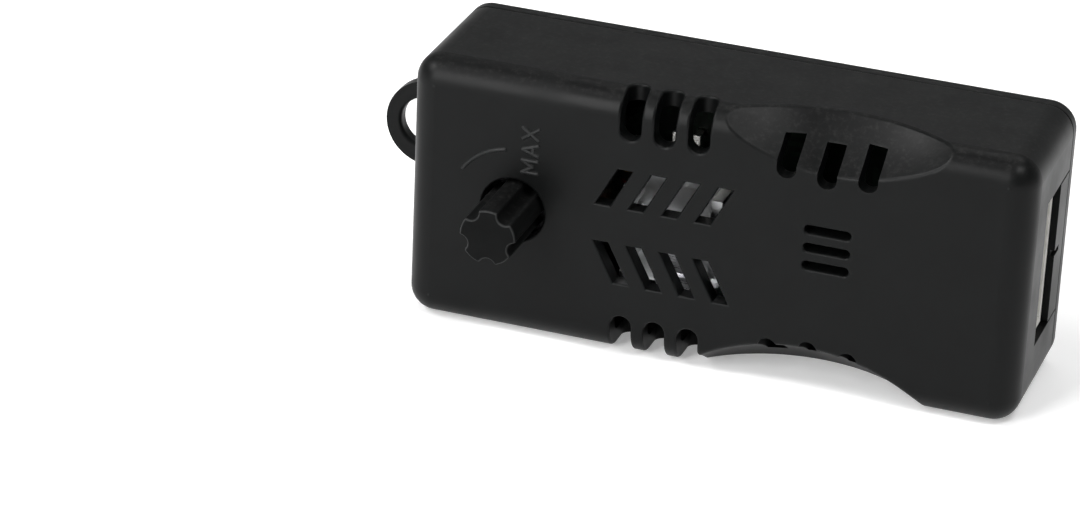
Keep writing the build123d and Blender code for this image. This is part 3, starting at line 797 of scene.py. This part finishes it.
@dataclass
class Studio:
    """A pale floor that rises all round, soft lamps and a dim room."""

    floor_radius: float = 0.9
    floor_sides: int = 96
    smooth_angle: float = 30.0
    bend_radius: float = 0.5
    bend_steps: int = 12
    wall_top: float = 1.0
    floor_colour: Triple = (0.9, 0.9, 0.9)
    wall_colour: Triple = (0.62, 0.62, 0.62)
    glow: float = 0.28
    glow_start: float = 0.65
    glow_end: float = 1.0
    room_light: float = 0.18
    lamps: tuple[Softbox, ...] = (
        Softbox("front_softbox", (-0.339, -0.727, 0.409), (0.28, 0.62), 10.5),
        Softbox("left_softbox", (-0.581, -0.259, 0.636), (0.36, 0.2), 14.5),
        Softbox("right_softbox", (0.35, -0.236, 0.795), (0.33, 0.24), 11.0),
        Softbox("top_softbox", (-0.258, -0.217, 0.834), (0.34, 0.3), 2.2),
        Softbox("back_softbox", (0.0, 0.395, 0.809), (0.6, 0.5), 1.5),
    )

    def build(self) -> None:
        """Makes the floor, the lamps and the room's light."""
        self.build_floor()
        for lamp in self.lamps:
            lamp.build()
        self.light_room()

    def build_floor(self) -> None:
        """Makes the floor: a disc whose rim bends up into a wall."""
        bpy.ops.object.select_all(action="DESELECT")
        disc = {"vertices": self.floor_sides, "radius": self.floor_radius}
        bpy.ops.mesh.primitive_circle_add(fill_type="NGON", **disc)
        floor = bpy.context.object
        floor.name = "studio_floor"
        bpy.ops.object.mode_set(mode="EDIT")
        bpy.ops.mesh.select_all(action="SELECT")
        bpy.ops.mesh.region_to_loop()
        radius, height = self.floor_radius, 0.0
        for step in range(1, self.bend_steps + 1):
            angle = math.pi / 2 * step / self.bend_steps
            wider = self.floor_radius + self.bend_radius * math.sin(angle)
            higher = self.bend_radius * (1 - math.cos(angle))
            self.raise_rim(wider / radius, higher - height)
            radius, height = wider, higher
        self.raise_rim(1.0, self.wall_top - height)
        bpy.ops.object.mode_set(mode="OBJECT")
        bpy.ops.object.shade_smooth_by_angle(angle=math.radians(self.smooth_angle))
        floor.data.materials.append(self.paper())

    def raise_rim(self, grow: float, lift: float) -> None:
        """Extrudes the selected rim outwards and up.

        Args:
            grow: How much wider the rim becomes.
            lift: How far it rises.
        """
        bpy.ops.mesh.extrude_edges_move(TRANSFORM_OT_translate={"value": (0.0, 0.0, lift)})
        bpy.ops.transform.resize(value=(grow, grow, 1.0))

    def paper(self) -> bpy.types.Material:
        """Makes the floor's material: matte paper that looks white near the object, outside its shadow.

        Returns:
            The material.
        """
        coat = Coat("studio_paper")
        path = coat.add("LightPath").outputs
        seen = coat.math("MAXIMUM", path["Is Camera Ray"], path["Is Glossy Ray"])
        seen = coat.math("MAXIMUM", seen, path["Is Transmission Ray"])
        away = coat.add("VectorMath", {0: coat.place}, operation="LENGTH").outputs["Value"]
        near = coat.ramp(away, self.glow_start, self.glow_end, self.glow, 0.0)
        risen = coat.ramp(coat.split(coat.place)["Z"], 0.0, self.bend_radius)
        coat.wear(
            Base_Color=coat.blend(risen, self.floor_colour, self.wall_colour),
            Roughness=0.9,
            Specular_IOR_Level=0.0,
            Emission_Color=(1.0, 1.0, 1.0),
            Emission_Strength=coat.math("MULTIPLY", seen, near),
        )
        return coat.material

    def light_room(self) -> None:
        """Sets the dim light of the room."""
        world = bpy.data.worlds.new("studio_room")
        world.use_nodes = True
        background = world.node_tree.nodes["Background"]
        background.inputs["Color"].default_value = (1.0, 1.0, 1.0, 1.0)
        background.inputs["Strength"].default_value = self.room_light
        bpy.context.scene.world = world


@dataclass
class PhotoCamera:
    """The camera, at the photograph's viewing angle."""

    aim: Triple = (-0.02372, 0.0, 0.00559)
    distance: float = 0.5018
    azimuth: float = 18.72
    elevation: float = 25.64
    roll: float = 2.52
    lens: float = 140.02
    sensor: float = 36.0
    clip_factor: float = 50.0

    def build(self) -> None:
        """Makes the camera and sets it as the scene's."""
        turn, tilt = math.radians(self.azimuth), math.radians(self.elevation)
        back = Vector((math.sin(turn) * math.cos(tilt), -math.cos(turn) * math.cos(tilt), math.sin(tilt)))
        data = bpy.data.cameras.new("photo_camera")
        data.sensor_width = self.sensor
        data.lens = self.lens
        data.clip_start = self.distance / self.clip_factor
        data.clip_end = self.distance * self.clip_factor
        camera = bpy.data.objects.new("photo_camera", data)
        camera.location = Vector(self.aim) + back * self.distance
        camera.rotation_mode = "QUATERNION"
        level = (-back).to_track_quat("-Z", "Y")
        camera.rotation_quaternion = level @ Quaternion((0, 0, 1), math.radians(self.roll))
        bpy.context.scene.collection.objects.link(camera)
        bpy.context.scene.camera = camera


def main() -> None:
    """Dresses the hub and sets up the studio and the camera."""
    logging.basicConfig(level=logging.INFO, format="%(name)s: %(message)s")
    bpy.context.scene.view_settings.view_transform = "Standard"
    for piece in (MouldedCase(), SpeedKnob(), PlugSocket(), ControlPot(), PowerStage(), BoardParts()):
        piece.build()
        LOG.info("built %s", type(piece).__name__)
    Studio().build()
    PhotoCamera().build()


if __name__ == "__main__":
    main()
